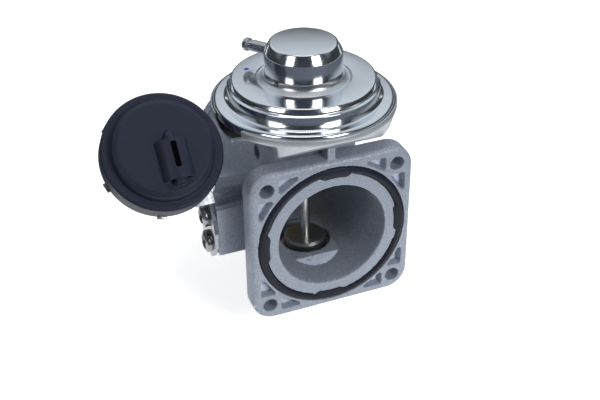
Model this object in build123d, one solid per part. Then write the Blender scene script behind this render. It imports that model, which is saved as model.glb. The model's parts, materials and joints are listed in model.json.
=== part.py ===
"""Exhaust gas recirculation valve with an intake flap, millimetres, +Z up.

Origin: centre of the bore on the face of the square outlet flange.
-Y is the outward normal of that flange and +Z runs up along the valve stem.
"""
from build123d import *
from math import atan2, cos, degrees, hypot, pi, radians, sin, sqrt, tan
import os

os.makedirs("parts", exist_ok=True)

# Running and assembly clearances
running_gap = 0.05
seat_gap = 0.1
loose_gap = 0.3

# Outlet flange
flange_side = 78.0
flange_thickness = 10.5
flange_corner = 10.5
flange_edge = 2.4
flange_back_edge = 1.2
bolt_spacing = 62.0
bolt_hole_radius = 3.4
pocket_depth = 4.0
pocket_corner = 1.1
pocket_rib = 1.6
pocket_rim = 1.3
pocket_beside_hole = 2.0
pocket_tip = 1.0
pocket_draft = 12.0
grip_turns = [10, 100, 190, 280]
mouth_radius = 26.3
mouth_depth = 1.5
groove_inner = 32.0
groove_outer = 35.9
groove_depth = 3.2
grip_nub_radius = 1.3
grip_nub_reach = 0.35
grip_pad_width = 8.7
grip_pad_reach = 0.5
grip_depth = 0.8

# Air duct
bore_radius = 26.0
duct_wall = 4.0
duct_length = 110.0
spigot_start = 92.0
spigot_wall = 4.6
bead_radius = 33.0
bead_length = 5.0
bead_to_end = 4.5
bead_round = 1.2

# Valve axis and gas seat
valve_y = 34.35
seat_floor = -23.3
seat_floor_front = 19.0
seat_floor_back = 50.0
ramp_length = 5.0
seat_radius = 12.2
seat_bore = 8.4
seat_cone_radius = 9.6
seat_top = -25.4
seat_height = 5.4
port_radius = 10.0
port_wall = 4.0
port_face = -50.0
port_flange_thickness = 7.5
port_bolt_spacing = 38.0
port_bolt_radius = 3.4
port_lug_radius = 7.2
port_edge = 1.0

# Valve disc and stem
disc_radius = 10.3
disc_top = -20.6
disc_bevel = 1.1
disc_foot_play = 0.8
stem_radius = 2.5
stem_top = 59.0
stem_thread_radius = 2.0

# Neck under the can
neck_radius = 23.75
neck_wall = 4.3
neck_top = 44.5
vent_radius = 3.75
vent_z = 31.0
guide_boss_radius = 7.5
guide_boss_top = 42.0
guide_boss_bottom = 21.0
guide_radius = 5.0
guide_collar = 1.5
guide_collar_radius = 6.6
rib_thickness = 3.7
rib_front = 2.2
rib_foot = 36.0
can_screw_radius = 2.0
can_screw_boss = 4.2
can_screw_depth = 12.0
can_screw_head = 3.6
can_screw_head_height = 2.4
can_screw_socket = 2.6
can_socket_depth = 1.4
seal_height = 3.4
seal_edge = 0.6
seal_foot_wall = 1.2
seal_top_wall = 0.9
seal_foot = 0.8
seal_lip = 1.4
cap_sheet = 0.8
cap_flange = 2.4
cap_height = 2.4
cap_hole_play = 0.5

# Boss that carries the actuator bracket
block_end = -48.0
block_front = 20.0
block_back = 39.0
block_bottom = -11.5
block_step_low = 13.4
block_step_high = 14.3
block_top = 19.8
block_ledge = 1.9
block_face = 25.0
block_round = 3.2

# Intake flap
flap_y = 83.0
flap_gap = 0.2
flap_thickness = 1.6
flap_bevel = 0.3
flap_turn = 80.0
shaft_radius = 4.0
shaft_flat_extra = 0.5
bush_wall = 2.0
boss_radius = 9.0
left_boss_end = -52.0
right_boss_end = 40.0
plug_thickness = 2.0
plug_dent = 0.8
plug_rim = 1.6
seal_length = 3.0
flap_screw_x = 11.0
flap_screw_radius = 1.5
flap_screw_head = 3.0
flap_screw_head_height = 1.4
flap_screw_socket = 2.0
flap_socket_depth = 0.8
flap_screw_end = 0.6

# Lever on the flap shaft
lever_x = -63.6
lever_thickness = 2.5
lever_hub = 8.0
lever_width = 9.6
lever_slot_clearance = 0.65
lever_nut_height = 3.0
lever_nut_flats = 10.0
thread_radius = 3.0
thread_past_nut = 1.0
lever_slot_wall = 3.0
lever_flat_play = 0.1

# Cup that carries the can
cradle_floor = 1.5
cradle_wall = 0.9
cradle_top = 54.9
cradle_beyond_rim = 1.1
cradle_taper = 2.3
cradle_flat = 3.1
cradle_flat_lean = 1.3
notch_heading = 214.06
notch_radius = 14.0
notch_below_rim = 4.0
window_clear = 2.0
window_from = -180.0
window_to = -152.0
window_sill = 47.0

# Diaphragm can
rim_radius = 41.0
rim_top = 56.5
rim_height = 4.2
rim_inner = 34.6
sheet = 1.2
curl_inner = 38.0
flange_sheet = 1.0
diaphragm_sheet = 0.8
plate_z = 65.0
plate_radius = 32.2
step_radius = 33.2
step_z = 62.6
wall_radius = 34.4
ring_outer = 21.6
ring_inner = 19.3
ring_depth = 0.9
dome_radius = 17.5
dome_shoulder_z = 77.0
dome_top_z = 81.5
dome_top_radius = 15.0
bowl_radius = 30.0
bowl_floor_radius = 24.0
bowl_shoulder = 1.5
bowl_wall_rise = 0.4
plate_disc_radius = 22.0
plate_disc_sheet = 1.2
plate_disc_lip = 3.0
diaphragm_sag = 2.6
stem_nut_radius = 4.6
stem_nut_height = 4.0
spring_wire = 2.0
spring_radius = 13.5
spring_turns = 4.5

# Hose nipple on the dome
nipple_z = 73.5
nipple_heading = 128.0
nipple_tip = 31.0
nipple_radius = 2.65
nipple_bore = 1.4
barb_radius = 3.1
barb_land = 2.0
barb_cone = 2.4
barb_round = 0.6
nipple_inner_end = 15.6

# Vacuum actuator of the flap, on an axis tilted in the YZ plane
actuator_x = -69.6
actuator_y = 20.9
actuator_z = 49.0
actuator_tilt = 45.0
cover_radius = 26.2
cover_wall = 2.2
cover_skirt = 10.5
cover_face_height = 5.6
cover_raised_radius = 22.2
cover_face_radius = 19.6
cover_shoulder_in = 0.5
cover_shoulder_down = 1.8
cover_rim_bevel = 0.8
cover_rim_play = 0.6
cover_round = 1.2
cover_inner_step = 0.6
base_flange_radius = 25.8
base_flange = 1.4
base_body_radius = 22.6
base_floor_radius = 17.5
base_depth = 23.8
base_sheet = 1.4
base_taper = 1.5
base_taper_height = 7.0
base_floor_step = 0.5
crimp_turns = [18, 78, 138, 198, 258, 318]
crimp_length = 2.4
crimp_width = 4.2
stud_offset = 12.0
stud_radius = 2.5
stud_length = 9.0
rod_radius = 2.5
rod_guide_radius = 5.0
rod_guide_collar = 1.6
rod_guide_flange = 1.0
rod_guide_out = 2.0
piston_radius = 15.5
piston_sheet = 1.4
piston_lip = 3.0
piston_boss_radius = 4.6
piston_boss_height = 4.0
rod_eye_radius = 5.4
rod_eye_width = 4.6
rod_in_eye = 1.5
pin_radius = 2.5
pin_head = 1.2
pin_end = 1.2
pin_groove = 0.6
clip_thickness = 0.9
clip_radius = 4.4
clip_mouth = 2.4
actuator_wire = 1.4
actuator_spring_radius = 11.0
actuator_spring_turns = 4.5

# Shrouded hose nipple on the actuator's face
hood_x = 2.8
hood_top = 2.2
hood_bottom = -15.0
hood_radius = 7.0
hood_wall = 1.7
hood_height = 6.0
hood_slot_width = 2.3
hood_slot_top = 0.6
hood_slot_bottom = -10.6
port_dome_radius = 2.8
hose_pipe_radius = 2.6
hose_pipe_bore = 1.2
hose_pipe_tip = -17.0

# Sheet bracket of the actuator
bracket_sheet = 2.0
bracket_lug_radius = 6.5
bracket_root = 8.0
bracket_plate_low = -22.0
bracket_plate_high = 17.0
bracket_small_corner = 1.8
bracket_bend_back = 6.0
bracket_behind = 1.5
bracket_edge = [(26.5, -15.8), (22.6, -11.0), (18.6, -6.0), (18.8, 1.5), (20.6, 7.5)]
bracket_screw_radius = 2.5
bracket_screw_head = 5.2
bracket_screw_head_height = 3.2
bracket_screw_depth = 12.0
bracket_screw_places = [(30.0, 5.6), (27.6, -7.0)]
socket_across = 3.2
socket_depth = 1.8
nut_flats = 8.0
nut_height = 4.0

# Sizes that follow from the ones above
duct_radius = bore_radius + duct_wall
spigot_radius = bore_radius + spigot_wall
o_ring_section = (groove_outer - groove_inner) / 2 - running_gap
o_ring_radius = (groove_outer + groove_inner) / 2
o_ring_y = groove_depth - o_ring_section
neck_inner = neck_radius - neck_wall
guide_top = guide_boss_top + guide_collar
bush_radius = shaft_radius + bush_wall
duct_end_bead = duct_length - bead_to_end
can_floor = neck_top + cradle_floor
cradle_top_radius = rim_radius + cradle_beyond_rim
cradle_bottom_radius = cradle_top_radius - cradle_taper
notch_distance = bowl_radius + loose_gap + cradle_wall + notch_radius
notch_x = notch_distance * cos(radians(notch_heading))
notch_y = valve_y + notch_distance * sin(radians(notch_heading))
rim_bottom = rim_top - rim_height
curl_top = rim_top - sheet - flange_sheet - diaphragm_sheet
diaphragm_z = rim_top - sheet - diaphragm_sheet
hub_z = diaphragm_z - diaphragm_sag
plate_disc_bottom = hub_z - plate_disc_sheet
plate_disc_top = hub_z + diaphragm_sheet + plate_disc_sheet
can_screw_circle = plate_disc_radius - plate_disc_sheet - can_screw_head - loose_gap
can_screw_turns = [90, 210, 330]
dome_inner_top = dome_top_z - sheet

# The rod runs on the actuator's axis and its pin crosses the lever's slot
lean = radians(actuator_tilt)
actuator_plane = Plane(
    origin=(actuator_x, actuator_y, actuator_z), x_dir=(1, 0, 0), z_dir=(0, -cos(lean), sin(lean))
)
along_y = cos(lean)
along_z = -sin(lean)
foot_distance = (flap_y - actuator_y) * along_y - actuator_z * along_z
foot_y = actuator_y + foot_distance * along_y
foot_z = actuator_z + foot_distance * along_z
rod_offset = hypot(foot_y - flap_y, foot_z)
half_turn = radians(flap_turn / 2)
half_stroke = 0.975 * rod_offset * tan(half_turn)
rod_travel = 2 * half_stroke
pin_distance = foot_distance + half_stroke
pin_y = actuator_y + pin_distance * along_y
pin_z = actuator_z + pin_distance * along_z
lever_heading = degrees(atan2(pin_z, pin_y - flap_y))
slot_near = rod_offset - pin_radius - lever_slot_clearance
slot_far = rod_offset / cos(half_turn) + pin_radius + lever_slot_clearance


def save(name, shape):
    """Write one sub-part to its own file."""
    export_step(shape, f"parts/{name}.step")


def turned(points, axis=Axis.Z):
    """Solid of revolution from a closed outline of (radius, height) points."""
    outline = make_face(Polyline([(r, 0, z) for r, z in points], close=True))
    return revolve(outline, axis)


def on_valve(shape):
    """Move a piece made about Z to the valve axis."""
    return Pos(0, valve_y, 0) * shape


def rod(radius, start, end, x=0.0, y=0.0):
    """Vertical cylinder between two heights."""
    return Pos(x, y, start) * extrude(Circle(radius), end - start)


def along_x(radius, start, end, y=0.0, z=0.0):
    """Cylinder along X between two places."""
    return Pos(start, y, z) * Rot(0, 90, 0) * extrude(Circle(radius), end - start)


def along_duct(radius, start, end, x=0.0, z=0.0):
    """Cylinder along Y between two places."""
    return Pos(x, start, z) * Rot(-90, 0, 0) * extrude(Circle(radius), end - start)


def coil(radius, wire, start, end, turns):
    """Round wire spring between two heights, closed by its first and last turns."""
    low = start + wire / 2
    high = end - wire / 2
    path = Helix(pitch=(high - low) / turns, height=high - low, radius=radius)
    section = Plane(origin=path @ 0, z_dir=path % 0) * Circle(wire / 2)
    return Pos(0, 0, low) * sweep(section, path, is_frenet=True)


def hexagon(flats, height):
    """Hexagonal prism on the XY plane."""
    return extrude(RegularPolygon(flats / 2, 6, major_radius=False), height)


def socket_head(radius, height, shank, length, across, depth):
    """Domed screw, its head above Z = 0 and its shank below, with a six-sided socket."""
    crown = height * 0.28
    head = turned([(0, 0), (radius, 0), (radius, height - crown), (radius * 0.62, height), (0, height)])
    head -= Pos(0, 0, height - depth) * hexagon(across, depth)
    return head + rod(shank, -length, 0)


def cast_pocket(corners):
    """Triangular pocket in the flange face, as deep as the casting leaves it."""
    face = make_face(Polyline([(x, -z) for x, z in corners], close=True))
    mouth = fillet(face.vertices(), pocket_corner)
    return Rot(-90, 0, 0) * extrude(mouth, pocket_depth, taper=pocket_draft)


def make_flange():
    """Square flange with a rounded front edge, bolt holes, pockets and the ring groove."""
    outline = RectangleRounded(flange_side, flange_side, flange_corner)
    plate = Rot(90, 0, 0) * extrude(outline, -flange_thickness)
    front = plate.faces().sort_by(Axis.Y)[0].edges()
    plate = fillet(front, flange_edge)
    back = plate.faces().sort_by(Axis.Y)[-1].edges()
    plate = fillet(back, flange_back_edge)
    half = bolt_spacing / 2
    near = groove_outer + pocket_rib
    rim = flange_side / 2 - flange_edge - pocket_rim
    start = half - bolt_hole_radius - pocket_beside_hole
    inner = sqrt(near * near - start * start)
    reach = sqrt(near * near - rim * rim) + pocket_tip
    pocket = cast_pocket([(start, rim), (start, inner), (reach, rim)])
    diagonal = Plane(origin=(0, 0, 0), x_dir=(0, 1, 0), z_dir=(1, 0, -1))
    for turn in (0, 90, 180, 270):
        plate -= Rot(0, turn, 0) * pocket
        plate -= Rot(0, turn, 0) * mirror(pocket, about=diagonal)
    return plate


def make_housing():
    """Cast body: flange, duct, neck, gas port, shaft bosses and bracket boss."""
    body = make_flange()
    body += along_duct(duct_radius, flange_thickness - 1, spigot_start)
    body += along_duct(spigot_radius, spigot_start - 2, duct_length)
    bead = along_duct(bead_radius, duct_end_bead - bead_length, duct_end_bead)
    body += fillet(bead.edges().filter_by(GeomType.CIRCLE), bead_round)
    body += on_valve(rod(neck_radius, 0, neck_top) - rod(neck_inner, duct_wall, neck_top + 1))
    for turn in can_screw_turns:
        place = Rot(0, 0, turn) * Pos(can_screw_circle, 0, 0)
        body += on_valve(place * rod(can_screw_boss, duct_wall, neck_top))
    body += on_valve(rod(guide_boss_radius, 0, guide_boss_top))
    body += make_rib()
    body += make_block()
    body += along_x(boss_radius, left_boss_end, 0, y=flap_y)
    body += along_x(boss_radius, 0, right_boss_end, y=flap_y)
    body += make_port()
    body -= along_duct(bore_radius, -1, duct_length + 1)
    mouth = turned([(0, 0), (mouth_radius, 0), (bore_radius, mouth_depth), (0, mouth_depth)])
    body -= Rot(-90, 0, 0) * mouth
    body += make_seat_land()
    body += on_valve(rod(guide_boss_radius, guide_boss_bottom, bore_radius + 1))
    body -= on_valve(rod(guide_radius, guide_boss_bottom - 1, guide_boss_top + 1))
    body -= on_valve(rod(seat_radius, seat_top - seat_height, seat_floor + 1))
    body -= on_valve(rod(port_radius, port_face - 1, seat_floor))
    for x in (-port_bolt_spacing / 2, port_bolt_spacing / 2):
        body -= rod(port_bolt_radius, port_face - 1, port_face + port_flange_thickness + 1, x, valve_y)
    for turn in can_screw_turns:
        place = Rot(0, 0, turn) * Pos(can_screw_circle, 0, 0)
        hole = rod(can_screw_radius + running_gap, neck_top - can_screw_depth, neck_top + 1)
        body -= on_valve(place * hole)
    body -= along_x(vent_radius, -neck_radius - 1, neck_radius + 1, y=valve_y, z=vent_z) - on_valve(
        rod(guide_boss_radius, 0, neck_top)
    )
    body -= along_x(bush_radius, left_boss_end - 1, 0, y=flap_y)
    body -= along_x(bush_radius, 0, right_boss_end + 1, y=flap_y)
    tapped = bracket_screw_radius + running_gap
    for y, z in bracket_screw_places:
        body -= along_x(tapped, block_end - 1, block_end + bracket_screw_depth, y, z)
    body -= make_groove()
    half = bolt_spacing / 2
    for x in (-half, half):
        for z in (-half, half):
            body -= along_duct(bolt_hole_radius, -1, flange_thickness + 1, x, z)
    return body


def make_rib():
    """Upright rib between the flange's top edge and the neck."""
    rib_back = valve_y - neck_radius + neck_wall / 2
    middle = Pos(0, (rib_front + rib_back) / 2, (rib_foot + neck_top) / 2)
    return middle * Box(rib_thickness, rib_back - rib_front, neck_top - rib_foot)


def make_groove():
    """Ring groove with four grips for the O-ring: a pad on its inner wall, a nub on its outer one."""
    ring = along_duct(groove_outer, -1, groove_depth) - along_duct(groove_inner, -2, groove_depth + 1)
    pads = along_duct(groove_inner + grip_pad_reach, -2, grip_depth)
    for turn in grip_turns:
        spin = Rot(0, turn, 0)
        nub_centre = groove_outer + grip_nub_radius - grip_nub_reach
        ring -= spin * along_duct(grip_nub_radius, -2, grip_depth, x=nub_centre)
        ring -= pads & (spin * Pos(groove_inner, 0, 0) * Box(groove_inner, 4 * grip_depth, grip_pad_width))
    return ring + o_ring_torus(o_ring_section + running_gap)


def make_seat_land():
    """Flat land in the bottom of the bore around the gas seat, with a ramp in front."""
    slope = [
        (seat_floor_front - ramp_length, -bore_radius - 1),
        (seat_floor_front - ramp_length, -bore_radius),
        (seat_floor_front, seat_floor),
        (seat_floor_back, seat_floor),
        (seat_floor_back + ramp_length, -bore_radius),
        (seat_floor_back + ramp_length, -bore_radius - 1),
    ]
    side = make_face(Polyline([(0, y, z) for y, z in slope], close=True))
    land = extrude(side, bore_radius / 2, dir=(1, 0, 0), both=True)
    return land & along_duct(bore_radius + 1, 0, duct_length)


def make_block():
    """Boss on the left of the duct: stepped front, rounded shoulder, flat end for the bracket."""
    edge = block_front + block_ledge
    profile = [
        (block_front, block_bottom),
        (block_front, block_step_low),
        (edge, block_step_low),
        (edge, block_step_high),
        (block_face, block_step_high),
        (block_face, block_top),
        (block_back, block_top),
        (block_back, block_bottom),
    ]
    side = make_face(Polyline([(block_end, y, z) for y, z in profile], close=True))
    block = extrude(side, -block_end - bore_radius / 2, dir=(1, 0, 0))
    shoulder = block.edges().filter_by(Axis.X).group_by(Axis.Z)[-1]
    return fillet(shoulder, block_round)


def make_port():
    """Gas inlet below the seat with its two-bolt flange."""
    tube = rod(port_radius + port_wall, port_face, seat_floor)
    lug = port_bolt_spacing / 2
    outline = Circle(port_radius + port_wall)
    outline += Pos(-lug, 0) * Circle(port_lug_radius) + Pos(lug, 0) * Circle(port_lug_radius)
    plate = extrude(make_hull(outline.edges()), port_flange_thickness)
    plate = fillet(plate.edges().group_by(Axis.Z)[-1], port_edge)
    return on_valve(tube + Pos(0, 0, port_face) * plate)


def o_ring_torus(section_radius):
    """Ring that lies on the floor of the groove."""
    section = Pos(o_ring_radius, 0, -o_ring_y) * Rot(90, 0, 0) * Circle(section_radius)
    return Rot(90, 0, 0) * revolve(section, Axis.Z)


def make_seat():
    cone = seat_cone_radius - seat_bore
    low = seat_top - seat_height
    return on_valve(
        turned(
            [
                (seat_bore, low),
                (seat_radius, low),
                (seat_radius, seat_top),
                (seat_cone_radius, seat_top),
                (seat_bore, seat_top - cone),
            ]
        )
    )


def make_disc():
    """Poppet with a bevelled top edge and a cone that meets the seat."""
    lift = seat_gap * sqrt(2)
    cone_start = seat_top + lift + disc_radius - seat_cone_radius
    foot = seat_bore - disc_foot_play
    cone_end = cone_start - (disc_radius - foot)
    outline = [
        (stem_radius, disc_top),
        (disc_radius - disc_bevel, disc_top),
        (disc_radius, disc_top - disc_bevel),
        (disc_radius, cone_start),
        (foot, cone_end),
        (stem_radius, cone_end),
    ]
    return on_valve(turned(outline)), cone_end


def make_stem(bottom):
    shoulder = plate_disc_bottom
    stem = rod(stem_radius, bottom, shoulder) + rod(stem_thread_radius, shoulder, stem_top)
    return on_valve(stem)


def make_guide():
    collar = rod(guide_collar_radius, guide_boss_top, guide_top)
    sleeve = rod(guide_radius, guide_boss_bottom, guide_top)
    return on_valve(sleeve + collar - rod(stem_radius + running_gap, guide_boss_bottom - 1, guide_top + 1))


def make_stem_seal():
    """Lipped seal that closes the hole in the cup's floor round the stem."""
    low = neck_top + seat_gap
    high = low + seal_height
    outline = [
        (stem_radius + running_gap, low + seal_foot),
        (stem_radius + seal_foot_wall, low),
        (guide_radius - seal_edge, low),
        (guide_radius - seal_edge, high),
        (stem_radius + seal_top_wall, high),
        (stem_radius + running_gap, high - seal_lip),
    ]
    return on_valve(turned(outline))


def make_seal_cap():
    """Pressed cap that holds the stem seal on the can's floor."""
    base = can_floor + flange_sheet
    inner = guide_radius - seal_edge + seat_gap
    outer = inner + cap_sheet
    outline = [
        (inner, base),
        (outer + cap_flange, base),
        (outer + cap_flange, base + cap_sheet),
        (outer, base + cap_sheet),
        (outer, base + cap_height),
        (stem_radius + cap_hole_play, base + cap_height),
        (stem_radius + cap_hole_play, base + cap_height - cap_sheet),
        (inner, base + cap_height - cap_sheet),
    ]
    return on_valve(turned(outline))


def cradle_form(inset):
    """Outer form of the carrier cup, drawn in by a wall: a cone with a flat front and a hollow."""
    floor = neck_top + (cradle_floor if inset else 0)
    slope = (cradle_top_radius - cradle_bottom_radius) / (rim_bottom - neck_top)
    top = cradle_top + (1 if inset else 0)
    low = cradle_bottom_radius + slope * (floor - neck_top) - inset
    high = cradle_top_radius - inset
    form = on_valve(turned([(0, floor), (low, floor), (high, rim_bottom), (high, top), (0, top)]))
    front_high = valve_y - cradle_top_radius + inset
    front_low = cradle_flat + cradle_flat_lean * inset
    lean_out = (front_low - front_high) / (rim_bottom - neck_top)
    far = front_low - 2 * cradle_top_radius
    wedge = [
        (front_low + lean_out, neck_top - 1),
        (front_high, rim_bottom),
        (far, rim_bottom),
        (far, neck_top - 1),
    ]
    side = make_face(Polyline([(0, y, z) for y, z in wedge], close=True))
    form -= extrude(side, 2 * cradle_top_radius, dir=(1, 0, 0), both=True)
    hollow_top = cradle_top - notch_below_rim
    form -= rod(notch_radius + inset, neck_top - 1, hollow_top + inset, notch_x, notch_y)
    return form


def make_cradle():
    """Pressed carrier cup with a window on its left, screwed to the neck."""
    cup = cradle_form(0) - cradle_form(cradle_wall)
    reach = 2 * cradle_top_radius
    middle = radians((window_from + window_to) / 2)
    half = radians((window_to - window_from) / 2)
    ends = [middle - half, middle + half]
    fan = [(0, 0)] + [(reach * cos(a), reach * sin(a)) for a in ends]
    window = make_face(Polyline([(x, y, 0) for x, y in fan], close=True))
    window = extrude(window, cradle_top) - rod(bowl_radius + window_clear, 0, cradle_top)
    cup -= on_valve(Pos(0, 0, window_sill) * window)
    cup -= on_valve(rod(guide_radius, 0, can_floor + 1))
    for turn in can_screw_turns:
        place = Rot(0, 0, turn) * Pos(can_screw_circle, 0, 0)
        cup -= on_valve(place * rod(can_screw_radius + loose_gap, 0, can_floor + 1))
    return cup


def make_lower_can():
    """Pressed bowl under the diaphragm, its flange held in the curl of the cover."""
    t = flange_sheet
    outline = [
        (guide_radius, can_floor),
        (bowl_floor_radius, can_floor),
        (bowl_radius, curl_top - bowl_shoulder),
        (bowl_radius, curl_top),
        (rim_radius - sheet, curl_top),
        (rim_radius - sheet, curl_top + t),
        (bowl_radius - t, curl_top + t),
        (bowl_radius - t, curl_top - bowl_shoulder + bowl_wall_rise),
        (bowl_floor_radius - bowl_wall_rise, can_floor + t),
        (guide_radius, can_floor + t),
    ]
    bowl = on_valve(turned(outline))
    for turn in can_screw_turns:
        place = Rot(0, 0, turn) * Pos(can_screw_circle, 0, 0)
        bowl -= on_valve(place * rod(can_screw_radius + loose_gap, 0, can_floor + 2 * t))
    return bowl


def cover_outline():
    """Outer line of the stepped cover, from the rim up to the dome, as (radius, height)."""
    return [
        (rim_radius, rim_bottom),
        (rim_radius, rim_top),
        (rim_inner + 1.4, rim_top),
        (wall_radius, rim_top + 2.0),
        (wall_radius, step_z - 0.9),
        (step_radius + 0.2, step_z),
        (step_radius, step_z + 0.4),
        (plate_radius, plate_z),
        (ring_outer, plate_z),
        (ring_outer - 0.5, plate_z - ring_depth),
        (ring_inner + 0.7, plate_z - ring_depth),
        (dome_radius + 0.5, plate_z + 1.2),
        (dome_radius, plate_z + 2.6),
        (dome_radius, dome_shoulder_z),
        (dome_top_radius, dome_top_z),
        (0, dome_top_z),
    ]


def make_upper_can():
    """Stepped cover with its dome; its rim is curled under the lower can's flange."""
    inner = [
        (0, dome_inner_top),
        (dome_top_radius - 0.7 * sheet, dome_inner_top),
        (dome_radius - sheet, dome_shoulder_z - 0.4),
        (dome_radius - sheet, plate_z + 1.2),
        (ring_inner - 0.6 * sheet, plate_z - ring_depth - sheet),
        (ring_outer + 0.2, plate_z - ring_depth - sheet),
        (ring_outer + 0.9, plate_z - sheet),
        (plate_radius - 0.8 * sheet, plate_z - sheet),
        (step_radius - sheet, step_z - 0.6),
        (wall_radius - sheet, step_z - 1.8),
        (wall_radius - sheet, rim_top + 0.8),
        (rim_inner + 0.2, rim_top - sheet),
        (rim_radius - sheet, rim_top - sheet),
        (rim_radius - sheet, curl_top),
        (curl_inner, curl_top),
        (curl_inner, rim_bottom),
    ]
    cover = on_valve(turned(cover_outline() + inner))
    soft = [
        (rim_radius, rim_top, 0.5),
        (rim_radius, rim_bottom, 0.5),
        (plate_radius, plate_z, 0.9),
        (wall_radius, step_z - 0.9, 0.4),
        (dome_radius, dome_shoulder_z, 1.6),
        (dome_top_radius, dome_top_z, 0.8),
    ]
    for radius, z, size in soft:
        ring = [e for e in cover.edges().filter_by(GeomType.CIRCLE) if is_ring(e, radius, z)]
        cover = fillet(ring, size)
    heading = Rot(0, 0, nipple_heading)
    hole = heading * along_x(nipple_radius, dome_radius - 4, dome_radius + 4, z=nipple_z)
    return cover - on_valve(hole)


def is_ring(edge, radius, z):
    """True for the circle of this radius about the valve axis at this height."""
    return abs(edge.radius - radius) < 0.01 and abs(edge.center().Z - z) < 0.01


def make_can_nipple():
    """Hose nipple on the dome with one barb at its tip."""
    outline = [
        (nipple_bore, nipple_inner_end),
        (nipple_radius, nipple_inner_end),
        (nipple_radius, nipple_tip - barb_land - barb_cone),
        (barb_radius, nipple_tip - barb_land),
        (barb_radius, nipple_tip - barb_round),
        (barb_radius - barb_round, nipple_tip),
        (nipple_bore, nipple_tip),
    ]
    nipple = Pos(0, 0, nipple_z) * Rot(0, 90, 0) * turned(outline)
    return on_valve(Rot(0, 0, nipple_heading) * nipple)


def make_can_screws():
    """Three screws through the can's floor and the cup into the neck."""
    base = can_floor + flange_sheet
    length = base - neck_top + can_screw_depth - 1
    screws = []
    for turn in can_screw_turns:
        screw = socket_head(
            can_screw_head,
            can_screw_head_height,
            can_screw_radius,
            length,
            can_screw_socket,
            can_socket_depth,
        )
        screws.append(on_valve(Rot(0, 0, turn) * Pos(can_screw_circle, 0, base) * screw))
    return Compound(children=screws)


def rolled_diaphragm(clamp, hub, outer, fold, inner, hole, roll):
    """Rubber diaphragm: clamped edge, one rolled fold, and a flat centre at another height."""
    t = diaphragm_sheet
    middle = (fold + inner) / 2
    outline = [
        (hole, hub),
        (inner, hub),
        (middle, hub + roll),
        (fold, clamp),
        (outer, clamp),
        (outer, clamp + t),
        (fold - 0.3, clamp + t),
        (middle, hub + roll + 1.4 * t),
        (inner - 0.3, hub + t),
        (hole, hub + t),
    ]
    return turned(outline)


def plate_disc(z, up):
    """Pressed plate that clamps the diaphragm, its edge turned away from the rubber."""
    t = plate_disc_sheet
    far = z + (t if up else -t)
    lip = z + (plate_disc_lip if up else -plate_disc_lip)
    outline = [
        (stem_thread_radius + running_gap, z),
        (plate_disc_radius, z),
        (plate_disc_radius, lip),
        (plate_disc_radius - t, lip),
        (plate_disc_radius - t, far),
        (stem_thread_radius + running_gap, far),
    ]
    return on_valve(turned(outline))


def make_stem_nut():
    base = plate_disc_top
    nut = Pos(0, 0, base) * hexagon(2 * stem_nut_radius * cos(pi / 6), stem_nut_height)
    return on_valve(nut - rod(stem_thread_radius + running_gap, base - 1, base + stem_nut_height + 1))


def make_flap_shaft():
    """Shaft across the duct, milled to half its section for the flap, with flats and a thread."""
    inner_end = right_boss_end - plug_thickness - loose_gap
    shaft = along_x(shaft_radius, lever_x, inner_end, y=flap_y)
    shaft += along_x(thread_radius, lever_x - lever_nut_height - thread_past_nut, lever_x, y=flap_y)
    cut = 2 * (bore_radius + shaft_flat_extra)
    seat = -flap_thickness / 2
    shaft -= Pos(0, flap_y, seat + shaft_radius) * Box(cut, 3 * shaft_radius, 2 * shaft_radius)
    across = 2 * (thread_radius + lever_flat_play)
    flats = Pos(lever_x + lever_thickness / 2, flap_y, 0) * Box(lever_thickness, 3 * shaft_radius, across)
    blank = along_x(shaft_radius + 1, lever_x, lever_x + lever_thickness, y=flap_y)
    shaft -= blank - flats
    for x in (-flap_screw_x, flap_screw_x):
        shaft -= rod(flap_screw_radius + running_gap, -shaft_radius - 1, shaft_radius, x, flap_y)
    return shaft


def make_flap_plate():
    """Round flap on the shaft's flat, with a small bevel and two screw holes."""
    radius = bore_radius - flap_gap
    plate = rod(radius, -flap_thickness / 2, flap_thickness / 2, 0, flap_y)
    plate = chamfer(plate.edges(), flap_bevel)
    for x in (-flap_screw_x, flap_screw_x):
        plate -= rod(flap_screw_radius + running_gap, -shaft_radius, shaft_radius, x, flap_y)
    return plate


def make_flap_screws():
    """Two screws that clamp the flap; their ends stand out below the shaft."""
    length = flap_thickness / 2 + shaft_radius + flap_screw_end
    screws = []
    for x in (-flap_screw_x, flap_screw_x):
        screw = socket_head(
            flap_screw_head,
            flap_screw_head_height,
            flap_screw_radius,
            length,
            flap_screw_socket,
            flap_socket_depth,
        )
        screws.append(Pos(x, flap_y, flap_thickness / 2) * screw)
    return Compound(children=screws)


def make_bush(start, end):
    bush = along_x(bush_radius, start, end, y=flap_y)
    return bush - along_x(shaft_radius + running_gap, start - 1, end + 1, y=flap_y)


def make_shaft_seal():
    """Rubber lip seal in the mouth of the long boss."""
    start = left_boss_end
    seal = along_x(bush_radius, start, start + seal_length, y=flap_y)
    return seal - along_x(shaft_radius + running_gap, start - 1, start + seal_length + 1, y=flap_y)


def make_shaft_plug():
    plug = along_x(bush_radius, right_boss_end - plug_thickness, right_boss_end, y=flap_y)
    dent = along_x(bush_radius - plug_rim, right_boss_end - plug_dent, right_boss_end + 1, y=flap_y)
    return plug - dent


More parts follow.
